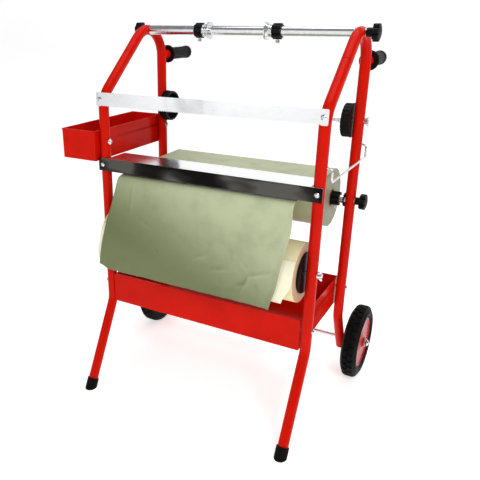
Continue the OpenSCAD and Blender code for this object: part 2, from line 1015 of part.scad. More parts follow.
// wire rail sprung into the right frame's upper bolt holes
module side_rail() {
    wire_r = 2.5;
    rail_x = outer_face + 11;
    rail_z = side_bolt_z - 29;
    bend = 8;
    tip = half + 6;
    color([0.8, 0.81, 0.83])
        for (y = [front_y, rear_y]) {
            along = y < 0 ? 1 : -1;
            bar_x(tip, rail_x - bend, y, side_bolt_z, wire_r);
            translate([rail_x - bend, y, side_bolt_z - bend])
                rotate([90, 0, 0])
                    rotate_extrude(angle = 90)
                        translate([bend, 0])
                            circle(r = wire_r, $fn = 32);
            translate([rail_x, y, rail_z + bend])
                cylinder(h = side_bolt_z - rail_z - 2 * bend, r = wire_r);
            translate([rail_x, y + along * bend, rail_z + bend])
                rotate([0, 90, 0])
                    rotate([0, 0, along > 0 ? -90 : 0])
                        rotate_extrude(angle = 90)
                            translate([bend, 0])
                                circle(r = wire_r, $fn = 32);
            translate([rail_x, y + along * bend, rail_z])
                rotate([-90 * along, 0, 0])
                    cylinder(h = frame_depth / 2 - bend, r = wire_r);
        }
}

// the middle of the whole stand, tray included, stands over the origin
translate([stand_shift, 0, 0]) {
    front_leg_left();
    front_leg_right();
    bow_tube_left();
    bow_tube_right();
    foot_caps();
    handle_stubs();
    grip_left();
    grip_right();
    upper_cutter();
    lower_cutter();
    cutter_screws();
    side_tray();
    side_tray_bolts();
    bottom_tray();
    bottom_tray_bolts();
    top_rod();
    roll_rod();
    rod_washers();
    top_knob_left();
    top_knob_right();
    rod_knob_left();
    rod_knob_right();
    top_collar_left();
    top_collar_right();
    rod_collar_left();
    rod_collar_right();
    top_screw_left();
    top_screw_right();
    rod_screw_left();
    rod_screw_right();
    top_cone_left();
    top_cone_right();
    rod_cone_left();
    rod_cone_right();
    paper_roll();
    paper_core();
    hanging_sheet();
    film_roll();
    film_core();
    film_flap();
    roll_hub_left();
    roll_hub_right();
    film_bolts();
    film_nut_left();
    film_wing_nut();
    tape_hub_left();
    tape_hub_right();
    tape_bolts();
    tape_wing_nut_left();
    tape_wing_nut_right();
    wheel_axle();
    axle_spacers();
    axle_caps();
    tyre_left();
    tyre_right();
    wheel_rim_left();
    wheel_rim_right();
    side_rail();
}
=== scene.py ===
"""Looks for a wheeled roll dispenser trolley: finishes, drawn-off paper, loose film and the studio."""

import math

import bmesh
import bpy
from mathutils import Matrix, Vector, noise


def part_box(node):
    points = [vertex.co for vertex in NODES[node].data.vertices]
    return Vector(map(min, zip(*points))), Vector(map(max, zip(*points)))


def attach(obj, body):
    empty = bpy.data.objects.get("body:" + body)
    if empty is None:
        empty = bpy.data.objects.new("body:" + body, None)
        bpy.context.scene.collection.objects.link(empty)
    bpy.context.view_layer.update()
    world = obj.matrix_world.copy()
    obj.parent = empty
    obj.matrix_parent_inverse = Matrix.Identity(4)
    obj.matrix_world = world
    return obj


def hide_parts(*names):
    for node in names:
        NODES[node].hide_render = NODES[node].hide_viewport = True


bl_info = {
    "name": "Roll dispenser trolley",
    "version": (1, 0, 0),
    "blender": (4, 5, 0),
    "location": "View3D > Sidebar > Trolley",
    "description": "Dresses the trolley's frame with its finishes, papers and studio",
    "category": "Object",
}

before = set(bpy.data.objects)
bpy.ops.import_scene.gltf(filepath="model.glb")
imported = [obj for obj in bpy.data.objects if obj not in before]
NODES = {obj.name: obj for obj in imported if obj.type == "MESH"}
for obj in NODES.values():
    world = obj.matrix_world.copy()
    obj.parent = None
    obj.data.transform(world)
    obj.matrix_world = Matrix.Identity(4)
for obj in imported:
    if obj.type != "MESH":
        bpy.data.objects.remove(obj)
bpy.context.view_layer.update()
MM = 0.001


def linear(code):
    """A six-digit sRGB hex colour as a linear colour with full alpha."""
    channels = [int(code[i : i + 2], 16) / 255 for i in (0, 2, 4)]
    return tuple(c / 12.92 if c <= 0.04045 else ((c + 0.055) / 1.055) ** 2.4 for c in channels) + (1.0,)


def per_mm(size):
    """Texture scale whose features are that many millimetres across."""
    return 1 / (size * MM)


def middle(node):
    low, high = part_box(node)
    return (low + high) / 2


PAPER_LOW, PAPER_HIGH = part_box("paper_roll")
PAPER_AXIS = middle("paper_roll")
PAPER_RADIUS = (PAPER_HIGH.z - PAPER_LOW.z) / 2
FILM_LOW, FILM_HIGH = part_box("film_roll")
FILM_AXIS = middle("film_roll")
FILM_RADIUS = (FILM_HIGH.z - FILM_LOW.z) / 2
STRIP_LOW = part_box("lower_cutter")[0]

CAMERA_PLACE = (0.6356, -1.2962, 0.9401)
CAMERA_TURN = (30.79, 22.15, -0.34)  # azimuth, pitch and roll in degrees
LIGHTS_AIM = (0, 0, 0.45)
# name, place, width and depth, power in watts
LIGHTS = (
    ("Key_right", (1.7, -1.9, 2.0), (1.0, 1.0), 34),
    ("Fill_front", (-1.0, -2.6, 1.1), (1.5, 1.5), 6),
    ("Top", (0.1, 0.3, 2.6), (1.8, 1.8), 24),
)
WORLD_STRENGTH = 0.3
FLOOR_GLOW = 0.55

# painted shade: the hanging paper's colour darkens along a slope of X plus this many times Z, over these
# distances
PAPER_SLOPE = 2.75
PAINTED_SHADE_REACH, PLAIN_REACH = 0.368, 0.272


def colour_property(name, description, code):
    return bpy.props.FloatVectorProperty(
        name=name, description=description, subtype="COLOR", size=4, min=0, max=1, default=linear(code)
    )


def length_property(name, description, default):
    return bpy.props.FloatProperty(
        name=name, description=description, subtype="DISTANCE", unit="LENGTH", default=default
    )


class TrolleySizes(bpy.types.PropertyGroup):
    """Sizes of the soft pieces."""

    sheet_drop: length_property("Sheet drop", "Paper hanging below the cutting edge", 0.232)
    sheet_drift: length_property("Sheet drift", "How far the hanging paper drifts to the left", 0.028)
    sheet_spread: length_property("Sheet spread", "How far the right edge stands out from the drift", 0.011)
    sheet_stand_off: length_property("Sheet stand-off", "Air between the paper and the film roll", 0.0065)
    sheet_crease: length_property("Crease depth", "Depth of the creases in the hanging paper", 0.0022)
    flap_drop: length_property("Flap drop", "Film hanging below the roll's front", 0.052)
    paper_thickness: length_property("Paper thickness", "Thickness that the sheets are drawn with", 0.0004)


class TrolleyColours(bpy.types.PropertyGroup):
    """Colours of the finishes."""

    frame_red: colour_property("Frame red", "Powder coat on the tubes and trays", "cb1302")
    rim_red: colour_property("Rim red", "Enamel on the wheel rims", "b01410")
    plating: colour_property("Plating", "Bright plating on the rods and fasteners", "dcdee0")
    steel: colour_property("Strip steel", "Polished steel of the cutting strips", "eff1f2")
    # painted reflection: the colour of the lower strip's front face
    painted_dark_face: colour_property("Painted dark face", "Dark face of the lower cutting strip", "2a2927")
    moulded_black: colour_property("Moulded black", "Knobs, grips, hubs and collars", "0a0a0b")
    rubber: colour_property("Rubber", "Tyres and foot boots", "080808")
    paper_green: colour_property("Masking paper", "Coated green paper", "b9c19c")
    # painted shade: the colour that the hanging paper darkens to at its left edge and hem
    paper_painted_shade: colour_property("Masking paper, painted shade", "The paper's left edge and hem", "666f44")
    film_cream: colour_property("Film", "Cream film and its loose end", "ece2b4")
    board: colour_property("Board", "Paper tube cores", "b98f63")


# ---------------------------------------------------------------- nodes


def add(tree, kind, inputs=None, **settings):
    """Adds a shader node, makes its settings and fills or links its inputs."""
    node = tree.nodes.new(kind)
    for key, value in settings.items():
        setattr(node, key, value)
    for name, value in (inputs or {}).items():
        if isinstance(value, bpy.types.NodeSocket):
            tree.links.new(value, node.inputs[name])
        else:
            node.inputs[name].default_value = value
    return node


def surface(name, inputs, build=None):
    """A named material with a principled shader; build(tree) returns the sockets that vary."""
    material = bpy.data.materials.new(name)
    material.use_nodes = True
    tree = material.node_tree
    tree.nodes.clear()
    varied = build(tree) if build else {}
    shader = add(tree, "ShaderNodeBsdfPrincipled", {**inputs, **varied})
    add(tree, "ShaderNodeOutputMaterial", {"Surface": shader.outputs["BSDF"]})
    return material


def shade(colour, factor):
    return tuple(min(1, c * factor) for c in colour[:3]) + (1.0,)


def blotch(tree, size, stops, detail=3.0, stretch=(1, 1, 1), rough=0.55):
    """A noise of that size in millimetres, run through a ramp of (position, colour) stops."""
    place = add(tree, "ShaderNodeTexCoord")
    scaled = add(tree, "ShaderNodeMapping", {"Vector": place.outputs["Object"], "Scale": stretch})
    grain = add(
        tree,
        "ShaderNodeTexNoise",
        {"Vector": scaled.outputs["Vector"], "Scale": per_mm(size), "Detail": detail, "Roughness": rough},
    )
    ramp = add(tree, "ShaderNodeValToRGB", {"Fac": grain.outputs["Fac"]})
    elements = ramp.color_ramp.elements
    for element, (position, colour) in zip(elements, (stops[0], stops[-1])):
        element.position = position
        element.color = colour
    for position, colour in stops[1:-1]:
        elements.new(position).color = colour
    return ramp.outputs["Color"], grain.outputs["Fac"]


def grey(value):
    return (value, value, value, 1.0)


def bump(tree, height, depth, normal=None):
    """A bump of that depth in millimetres."""
    inputs = {"Height": height, "Strength": 1.0, "Distance": depth * MM}
    if normal:
        inputs["Normal"] = normal
    return add(tree, "ShaderNodeBump", inputs).outputs["Normal"]


# ------------------------------------------------------------ materials


def red_powder_coat(colour):
    """Polyester powder coat, sprayed and baked: a deep gloss with a fine orange peel."""

    def build(tree):
        tint, _ = blotch(tree, 60, [(0.3, shade(colour, 0.9)), (0.7, shade(colour, 1.06))])
        _, peel = blotch(tree, 2.4, [(0, grey(0)), (1, grey(1))], detail=0.0)
        wear, _ = blotch(tree, 9, [(0.3, grey(0.16)), (0.75, grey(0.26))])
        return {"Base Color": tint, "Roughness": wear, "Normal": bump(tree, peel, 0.006)}

    return surface("Powder_coat_baked_red", {"IOR": 1.4, "Specular IOR Level": 0.1}, build)


def rim_enamel(colour):
    """Stoved enamel on pressed steel: smoother and darker than the frame's coat."""

    def build(tree):
        tint, _ = blotch(tree, 25, [(0.3, shade(colour, 0.85)), (0.7, shade(colour, 1.1))])
        gloss, _ = blotch(tree, 6, [(0.3, grey(0.22)), (0.7, grey(0.34))])
        _, peel = blotch(tree, 1.2, [(0, grey(0)), (1, grey(1))], detail=1.0)
        return {"Base Color": tint, "Roughness": gloss, "Normal": bump(tree, peel, 0.02)}

    return surface("Enamel_stoved_rim_red", {"IOR": 1.4, "Specular IOR Level": 0.45}, build)


def bright_plating(colour):
    """Bright chrome over drawn steel: mirror clear, with faint drawing marks along the rods."""

    def build(tree):
        tint, _ = blotch(tree, 14, [(0.3, shade(colour, 0.86)), (0.7, colour)])
        gloss, drawn = blotch(tree, 1.4, [(0.3, grey(0.1)), (0.75, grey(0.22))], stretch=(0.06, 1, 1))
        return {"Base Color": tint, "Roughness": gloss, "Normal": bump(tree, drawn, 0.008)}

    return surface("Chrome_plated_drawn_steel", {"Metallic": 1.0}, build)


def polished_strip(colour):
    """Cold-rolled strip, polished lengthwise: long soft streaks in a bright face, and large grey patches of
    painted reflection in its colour.
    """

    def build(tree):
        # painted reflection: large grey patches in the strip's colour
        tint, _ = blotch(
            tree,
            90,
            [(0.36, shade(colour, 0.74)), (0.46, shade(colour, 0.98)), (0.6, colour)],
            stretch=(0.6, 1, 0.3),
        )
        gloss, streak = blotch(tree, 1.1, [(0.3, grey(0.16)), (0.75, grey(0.34))], stretch=(0.03, 1, 1))
        return {"Base Color": tint, "Roughness": gloss, "Normal": bump(tree, streak, 0.012)}

    return surface("Steel_strip_polished_lengthwise", {"Metallic": 1.0}, build)


def angle_painted_reflection(bright, dark):
    """Angle strip with a bright top: dark where it faces front, a painted reflection with grey patches, and
    mirror clear above.
    """

    def build(tree):
        facing = add(tree, "ShaderNodeNewGeometry")
        parts = add(tree, "ShaderNodeSeparateXYZ", {"Vector": facing.outputs["Normal"]})
        upward = add(
            tree, "ShaderNodeMath", {0: parts.outputs["Z"], 1: 0.5}, operation="GREATER_THAN"
        )
        # painted reflection: darker and lighter patches on the front face
        tint, _ = blotch(
            tree,
            110,
            [(0.4, shade(dark, 0.3)), (0.5, dark), (0.6, shade(dark, 3.6))],
            detail=1.0,
            stretch=(1.0, 1, 3.0),
            rough=0.4,
        )
        blend = add(
            tree, "ShaderNodeMix", {0: upward.outputs[0], 6: tint, 7: bright}, data_type="RGBA"
        )
        gloss, streak = blotch(tree, 1.1, [(0.3, grey(0.1)), (0.75, grey(0.24))], stretch=(0.03, 1, 1))
        return {"Base Color": blend.outputs[2], "Roughness": gloss, "Normal": bump(tree, streak, 0.01)}

    return surface("Steel_angle_painted_dark_face_bright_top", {"Metallic": 1.0}, build)


def moulded_nylon(colour):
    """Glass-filled nylon, injection moulded: satin black with a spark-eroded grain."""

    def build(tree):
        tint, _ = blotch(tree, 7, [(0.3, shade(colour, 0.7)), (0.7, shade(colour, 1.5))])
        gloss, _ = blotch(tree, 3, [(0.3, grey(0.36)), (0.7, grey(0.52))])
        _, grain = blotch(tree, 0.7, [(0, grey(0)), (1, grey(1))], detail=2.0)
        return {"Base Color": tint, "Roughness": gloss, "Normal": bump(tree, grain, 0.05)}

    return surface("Nylon_moulded_black_grained", {"IOR": 1.5, "Specular IOR Level": 0.14}, build)


def grip_vinyl(colour):
    """Soft vinyl, dip moulded over the handle: even satin black with a pebbled skin."""

    def build(tree):
        tint, _ = blotch(tree, 10, [(0.3, shade(colour, 0.8)), (0.7, shade(colour, 1.6))])
        gloss, _ = blotch(tree, 4, [(0.3, grey(0.42)), (0.7, grey(0.6))])
        place = add(tree, "ShaderNodeTexCoord")
        pebble = add(
            tree, "ShaderNodeTexVoronoi", {"Vector": place.outputs["Object"], "Scale": per_mm(2.2)}
        )
        return {"Base Color": tint, "Roughness": gloss, "Normal": bump(tree, pebble.outputs["Distance"], 0.1)}

    return surface("Vinyl_moulded_grip_pebbled", {"IOR": 1.5, "Specular IOR Level": 0.12}, build)


def tyre_rubber(colour):
    """Vulcanised rubber: matt black, dusted grey, with the mould's fine texture."""

    def build(tree):
        tint, _ = blotch(
            tree, 12, [(0.35, colour), (0.6, shade(colour, 1.8)), (0.8, linear("1d1c1b"))], detail=5.0
        )
        gloss, _ = blotch(tree, 5, [(0.3, grey(0.45)), (0.7, grey(0.7))])
        _, grain = blotch(tree, 0.9, [(0, grey(0)), (1, grey(1))], detail=3.0)
        return {"Base Color": tint, "Roughness": gloss, "Normal": bump(tree, grain, 0.08)}

    return surface("Rubber_vulcanised_tyre", {"IOR": 1.5, "Specular IOR Level": 0.06}, build)


def wound_paper(name, skin, edge, axis, turn):
    """Paper wound on a core: smooth round the outside, with the edges of the turns on the ends.

    The turns are far thinner than can be seen, so they are drawn turn millimetres apart.
    """

    def build(tree):
        place = add(tree, "ShaderNodeTexCoord")
        centred = add(
            tree,
            "ShaderNodeVectorMath",
            {0: place.outputs["Object"], 1: (0, axis.y, axis.z)},
            operation="SUBTRACT",
        )
        flat = add(tree, "ShaderNodeVectorMath", {0: centred.outputs[0], 1: (0, 1, 1)}, operation="MULTIPLY")
        radius = add(tree, "ShaderNodeVectorMath", {0: flat.outputs[0]}, operation="LENGTH")
        line = add(
            tree, "ShaderNodeTexNoise", {"W": radius.outputs["Value"], "Scale": per_mm(turn), "Detail": 2.0},
            noise_dimensions="1D",
        )
        turns = add(tree, "ShaderNodeValToRGB", {"Fac": line.outputs["Fac"]})
        turns.color_ramp.elements[0].position = 0.3
        turns.color_ramp.elements[0].color = shade(edge, 0.72)
        turns.color_ramp.elements[1].position = 0.7
        turns.color_ramp.elements[1].color = edge
        facing = add(tree, "ShaderNodeNewGeometry")
        parts = add(tree, "ShaderNodeSeparateXYZ", {"Vector": facing.outputs["Normal"]})
        side = add(tree, "ShaderNodeMath", {0: parts.outputs["X"]}, operation="ABSOLUTE")
        on_end = add(tree, "ShaderNodeMath", {0: side.outputs[0], 1: 0.7}, operation="GREATER_THAN")
        tint, cloud = blotch(tree, 70, [(0.3, shade(skin, 0.88)), (0.7, skin)], stretch=(0.5, 1, 1))
        blend = add(
            tree,
            "ShaderNodeMix",
            {0: on_end.outputs[0], 6: tint, 7: turns.outputs["Color"]},
            data_type="RGBA",
        )
        ridge = add(
            tree, "ShaderNodeMath", {0: line.outputs["Fac"], 1: on_end.outputs[0]}, operation="MULTIPLY"
        )
        gloss, _ = blotch(tree, 20, [(0.3, grey(0.42)), (0.7, grey(0.56))])
        return {
            "Base Color": blend.outputs[2],
            "Roughness": gloss,
            "Normal": bump(tree, ridge.outputs[0], 0.12, bump(tree, cloud, 0.25)),
        }

    return surface(name, {"IOR": 1.48}, build)


def coated_paper(name, colour, fibre, deep=None, fall=0.0, span=(0.0, 1.0)):
    """Machine-glazed paper off the roll: a soft sheen and cloudy fibre.

    With deep it goes over to that colour, as painted shade, towards its left edge and its hem,
    where X plus fall times Z runs from the high to the low end of span.
    """

    def build(tree):
        tint, _ = blotch(
            tree, fibre, [(0.28, shade(colour, 0.84)), (0.5, colour), (0.75, shade(colour, 1.06))], detail=5.0
        )
        # painted shade: the colour goes over to deep towards the left edge and the hem
        if deep:
            place = add(tree, "ShaderNodeTexCoord")
            along = add(
                tree,
                "ShaderNodeVectorMath",
                {0: place.outputs["Object"], 1: (1, 0, fall)},
                operation="DOT_PRODUCT",
            )
            kept = add(
                tree,
                "ShaderNodeMapRange",
                {"Value": along.outputs["Value"], "From Min": span[0], "From Max": span[1]},
                interpolation_type="SMOOTHSTEP",
            )
            mixed = add(tree, "ShaderNodeMix", {0: kept.outputs[0], 6: deep, 7: tint}, data_type="RGBA")
            tint = mixed.outputs[2]
        gloss, _ = blotch(tree, 30, [(0.3, grey(0.4)), (0.7, grey(0.58))])
        _, cockle = blotch(tree, 26, [(0, grey(0)), (1, grey(1))], detail=2.0, stretch=(1.0, 1.0, 0.45))
        _, pucker = blotch(tree, 9, [(0, grey(0)), (1, grey(1))], detail=3.0, stretch=(0.8, 1.0, 1.0))
        _, tooth = blotch(tree, 1.2, [(0, grey(0)), (1, grey(1))], detail=2.0)
        return {
            "Base Color": tint,
            "Roughness": gloss,
            "Normal": bump(tree, tooth, 0.03, bump(tree, pucker, 0.35, bump(tree, cockle, 1.1))),
        }

    return surface(name, {"IOR": 1.48, "Sheen Weight": 0.08, "Sheen Roughness": 0.4}, build)


def spiral_board(colour):
    """Spiral-wound board tube: brown and fibrous, with its turns showing."""

    def build(tree):
        tint, fibres = blotch(tree, 3, [(0.3, shade(colour, 0.75)), (0.7, shade(colour, 1.1))], detail=6.0)
        return {"Base Color": tint, "Normal": bump(tree, fibres, 0.15)}

    return surface("Board_spiral_wound_core", {"IOR": 1.45, "Roughness": 0.85}, build)


def dress(material, *names):
    """Puts the material on those CAD nodes."""
    for name in names:
        mesh = NODES[name].data
        mesh.materials.clear()
        mesh.materials.append(material)


def both(name):
    return [f"{name}_left", f"{name}_right"]


def ease_edges(names, width):
    """Rounds the folded edges of sheet metal, which the light picks out."""
    for name in names:
        node = NODES[name]
        weld = node.modifiers.new("Join", "WELD")
        weld.merge_threshold = 0.00002
        bevel = node.modifiers.new("Fold", "BEVEL")
        bevel.width = width * MM
        bevel.segments = 3
        bevel.limit_method = "ANGLE"
        bevel.angle_limit = math.radians(40)
        bevel.harden_normals = True


# ---------------------------------------------------------- soft pieces


def smooth_route(points, steps):
    """A smooth line through (y, z) points, as steps + 1 points evenly spaced along it."""
    ends = [points[0]] + list(points) + [points[-1]]
    fine = []
    parts = 24
    for i in range(1, len(ends) - 2):
        p0, p1, p2, p3 = (Vector(p) for p in ends[i - 1 : i + 3])
        for k in range(parts):
            t = k / parts
            fine.append(
                0.5 * (2 * p1 + (p2 - p0) * t + (2 * p0 - 5 * p1 + 4 * p2 - p3) * t**2
                       + (3 * p1 - p0 - 3 * p2 + p3) * t**3)
            )
    fine.append(Vector(points[-1]))
    run = [0.0]
    for a, b in zip(fine, fine[1:]):
        run.append(run[-1] + (b - a).length)
    spaced, j = [], 0
    for i in range(steps + 1):
        want = run[-1] * i / steps
        while j < len(run) - 2 and run[j + 1] < want:
            j += 1
        share = (want - run[j]) / max(run[j + 1] - run[j], 1e-9)
        spaced.append(fine[j].lerp(fine[j + 1], min(max(share, 0), 1)))
    return spaced, run[-1]


def point_on(line, share):
    """The point at that share of the length of an evenly spaced line."""
    last = len(line) - 1
    step = min(int(share * last), last - 1)
    after = min(int(share * last) + 1, last)
    return line[step].lerp(line[after], share * last % 1)


def ease(t):
    t = min(max(t, 0.0), 1.0)
    return t * t * (3 - 2 * t)


def make_sheet(name, rows, columns, place, thickness):
    """A sheet whose point at (u across, v along) is place(u, v)."""
    mesh = bpy.data.meshes.new(name)
    bm = bmesh.new()
    grid = [[bm.verts.new(place(i / columns, j / rows)) for i in range(columns + 1)] for j in range(rows + 1)]
    for lower, upper in zip(grid, grid[1:]):
        for i in range(columns):
            face = bm.faces.new((lower[i], lower[i + 1], upper[i + 1], upper[i]))
            face.smooth = True
    bm.to_mesh(mesh)
    bm.free()
    sheet = bpy.data.objects.new(name, mesh)
    bpy.context.scene.collection.objects.link(sheet)
    shell = sheet.modifiers.new("Thickness", "SOLIDIFY")
    shell.thickness = thickness
    shell.offset = 0
    return sheet


# sharp folds of the hanging paper: start and end as (share across, share down), and height
SHEET_FOLDS = (
    ((0.11, 0.12), (0.13, 0.36), 0.0026),
    ((0.79, 0.60), (0.86, 0.70), 0.0060),
    ((0.86, 0.70), (0.95, 0.64), 0.0056),
    ((0.86, 0.70), (0.84, 0.86), 0.0048),
    ((0.91, 0.78), (0.97, 0.92), 0.0052),
    ((0.74, 0.52), (0.79, 0.60), 0.0036),
    ((0.66, 0.72), (0.75, 0.68), 0.0034),
    ((0.80, 0.82), (0.86, 0.78), 0.0034),
    ((0.92, 0.50), (0.97, 0.58), 0.0034),
    ((0.72, 0.80), (0.76, 0.92), 0.0028),
    ((0.30, 0.60), (0.36, 0.72), 0.0026),
    ((0.52, 0.30), (0.56, 0.44), 0.0024),
    ((0.56, 0.66), (0.62, 0.60), 0.0024),
    ((0.20, 0.40), (0.27, 0.46), 0.0020),
)
FOLD_WIDTH = 0.008


def hanging_paper(sizes):
    """Paper drawn forward off the roll, under the cutting strip and down over the film roll."""
    edge_y, edge_z = STRIP_LOW.y, STRIP_LOW.z
    front = FILM_AXIS.y - FILM_RADIUS - sizes.sheet_stand_off
    top = PAPER_AXIS.z + PAPER_RADIUS + 0.0008
    bottom = edge_z - 0.004 - sizes.sheet_drop
    route = [
        (PAPER_AXIS.y, top),
        (PAPER_AXIS.y - 0.06, top - 0.0006),
        (PAPER_AXIS.y - 0.14, top - 0.003),
        (PAPER_AXIS.y - 0.21, top - 0.0055),
        (edge_y + 0.022, edge_z - 0.0038),
        (edge_y + 0.002, edge_z - 0.0065),
        (edge_y - 0.008, edge_z - 0.014),
        (edge_y - 0.016, edge_z - 0.036),
        (edge_y - 0.03, edge_z - 0.072),
        (edge_y - 0.045, edge_z - 0.105),
        (front + 0.004, edge_z - 0.138),
        (front, FILM_AXIS.z),
        (front + 0.0005, FILM_AXIS.z - 0.03),
        (front + 0.002, bottom),
    ]
    line, length = smooth_route(route, 400)
    width = PAPER_HIGH.x - PAPER_LOW.x
    left = PAPER_LOW.x + 0.004
    fall = (length - sizes.sheet_drop - 0.012) / length

    def torn_end(u):
        """How far the torn end stands above or below the straight cut, at u across."""
        jag = 0.0045 * (ease((u - 0.55) / 0.01) - ease((u - 0.58) / 0.05))
        corner = 0.014 * (1 - ease(u / 0.05))
        ragged = 0.0014 * noise.noise(Vector((u * 26, 3.1, 0)))
        return jag + corner + ragged - 0.006 * ease((u - 0.2) / 0.6)

    def folds(u, low):
        """How far the sharp folds stand out at u across and low down."""
        spot, depth = Vector((u * width, low * sizes.sheet_drop)), 0.0
        for (u0, low0), (u1, low1), height in SHEET_FOLDS:
            start = Vector((u0 * width, low0 * sizes.sheet_drop))
            run = Vector((u1 * width, low1 * sizes.sheet_drop)) - start
            along = min(max((spot - start).dot(run) / run.length_squared, 0.0), 1.0)
            away = (spot - start - run * along).length
            fade = math.sin(math.pi * (0.15 + 0.7 * along))
            depth += height * max(0.0, 1 - away / FOLD_WIDTH) ** 1.5 * fade
        return depth

    def place(u, v):
        low = max(0.0, (v - fall) / (1 - fall))
        hang = ease(low)
        spot = point_on(line, v * (1 - torn_end(u) / length * hang))
        drift = -sizes.sheet_drift * low ** 0.8 + 0.004 * math.sin(low * math.pi)
        spread = sizes.sheet_spread * u * (ease(low / 0.3) - 0.7 * ease((low - 0.7) / 0.3))
        x = left + width * u + drift + spread
        wave = noise.noise(Vector((x * 9, spot.y * 6, low * 2.4 + 5)))
        near_corner = ease((u - 0.35) / 0.4) * ease((low - 0.35) / 0.4)
        crease = abs(noise.noise(Vector((x * 22 + 4, low * 5.5, 1.7)))) * near_corner
        bow = sizes.sheet_crease * (0.9 * wave + 1.6 * crease) * hang + folds(u, low)
        right_curl = 0.004 * ease((u - 0.97) / 0.03) * hang
        curl = right_curl + 0.006 * ease((0.04 - u) / 0.04) * ease((low - 0.6) / 0.4)
        return Vector((x, spot.x - abs(bow) - curl, spot.y))

    sheet = make_sheet("drawn_paper", 260, 200, place, sizes.paper_thickness)
    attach(sheet, "frame")
    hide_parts("hanging_sheet")
    return sheet


def loose_film(sizes):
    """The film's outer turn, which leaves the roll at its front and hangs below it."""
    hug = FILM_RADIUS + 0.0012
    arc = [math.radians(a) for a in range(140, 176, 5)]
    route = [(FILM_AXIS.y + hug * math.cos(a), FILM_AXIS.z + hug * math.sin(a)) for a in arc]
    front = FILM_AXIS.y - hug - 0.001
    route += [
        (front - 0.0008, FILM_AXIS.z - 0.006),
        (front - 0.0012, FILM_AXIS.z - sizes.flap_drop * 0.5),
        (front + 0.0005, FILM_AXIS.z - sizes.flap_drop),
    ]
    line, length = smooth_route(route, 120)
    left, right = FILM_LOW.x + 0.001, FILM_HIGH.x - 0.001

    def place(u, v):
        low = ease((v - 0.42) / 0.58)
        west = left - 0.007 * math.sin(low * math.pi * 0.8)
        east = right - 0.02 * low ** 1.4
        spot = point_on(line, v)
        x = west + (east - west) * u
        ripple = 0.0007 * noise.noise(Vector((x * 14, low * 3, 0))) * low
        return Vector((x, spot.x - abs(ripple), spot.y))

    flap = make_sheet("loose_film", 90, 160, place, sizes.paper_thickness)
    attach(flap, "frame")
    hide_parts("film_flap")
    return flap


# -------------------------------------------------------------- studio


def studio_floor():
    """A pale floor that curves up far behind the trolley."""
    reach, depth, rise, sweep = 9.0, 7.0, 6.0, 2.0
    outline = [(-depth, 0.0), (depth - sweep, 0.0)]
    for i in range(1, 13):
        a = math.pi / 2 * i / 12
        outline.append((depth - sweep + sweep * math.sin(a), sweep - sweep * math.cos(a)))
    outline.append((depth, rise))
    mesh = bpy.data.meshes.new("studio_floor")
    bm = bmesh.new()
    rows = [[bm.verts.new((x, y, z)) for x in (-reach, reach)] for y, z in outline]
    for near, far in zip(rows, rows[1:]):
        bm.faces.new((near[0], near[1], far[1], far[0])).smooth = True
    bm.to_mesh(mesh)
    bm.free()
    floor = bpy.data.objects.new("studio_floor", mesh)
    bpy.context.scene.collection.objects.link(floor)

    def build(tree):
        tint, _ = blotch(tree, 900, [(0.3, linear("f6f6f6")), (0.7, linear("fcfcfc"))])
        return {"Base Color": tint}

    glow = {"Emission Color": (1, 1, 1, 1), "Emission Strength": FLOOR_GLOW}
    mesh.materials.append(surface("Paper_studio_sweep", {"Roughness": 0.9, "IOR": 1.3, **glow}, build))


def area_light(name, place, target, size, power):
    lamp = bpy.data.lights.new(name, "AREA")
    lamp.shape = "RECTANGLE"
    lamp.size, lamp.size_y = size
    lamp.energy = power
    holder = bpy.data.objects.new(name, lamp)
    bpy.context.scene.collection.objects.link(holder)
    holder.location = place
    holder.rotation_mode = "QUATERNION"
    holder.rotation_quaternion = (Vector(target) - Vector(place)).to_track_quat("-Z", "Y")


def studio_light():
    world = bpy.data.worlds.new("Studio_air")
    world.use_nodes = True
    world.node_tree.nodes.clear()
    air = add(world.node_tree, "ShaderNodeBackground", {"Color": (1, 1, 1, 1), "Strength": WORLD_STRENGTH})
    add(world.node_tree, "ShaderNodeOutputWorld", {"Surface": air.outputs["Background"]})
    bpy.context.scene.world = world
    for name, place, size, power in LIGHTS:
        area_light(name, place, LIGHTS_AIM, size, power)


def studio_camera():
    """Three-quarter view from the front right, a little above the top rod."""
    azimuth, pitch, roll = (math.radians(a) for a in CAMERA_TURN)
    level = math.cos(pitch)
    ahead = Vector((-math.sin(azimuth) * level, math.cos(azimuth) * level, -math.sin(pitch)))
    right = Vector((math.cos(azimuth), math.sin(azimuth), 0))
    up = right.cross(ahead)
    across = right * math.cos(roll) + up * math.sin(roll)
    upward = up * math.cos(roll) - right * math.sin(roll)
    lens = bpy.data.cameras.new("Studio_camera")
    lens.sensor_width = 36
    lens.lens = 44.16
    lens.shift_x, lens.shift_y = 0.131, 0.025
    lens.clip_start, lens.clip_end = 0.05, 60
    camera = bpy.data.objects.new("Studio_camera", lens)
    bpy.context.scene.collection.objects.link(camera)
    turn = Matrix((across, upward, -ahead)).transposed().to_4x4()
    camera.matrix_world = Matrix.Translation(CAMERA_PLACE) @ turn
    bpy.context.scene.camera = camera


# ----------------------------------------------------------- operators


def sizes_of(context):
    return context.scene.trolley_sizes


def colours_of(context):
    return context.scene.trolley_colours


class TROLLEY_OT_frame(bpy.types.Operator):
    """Powder coats the tubes and trays"""

    bl_idname = "trolley.frame"
    bl_label = "Frame and trays"

    def execute(self, context):
        red = red_powder_coat(tuple(colours_of(context).frame_red))
        dress(red, *both("front_leg"), *both("bow_tube"), "handle_stubs", "side_tray", "bottom_tray")
        ease_edges(["side_tray", "bottom_tray"], 0.7)
        return {"FINISHED"}


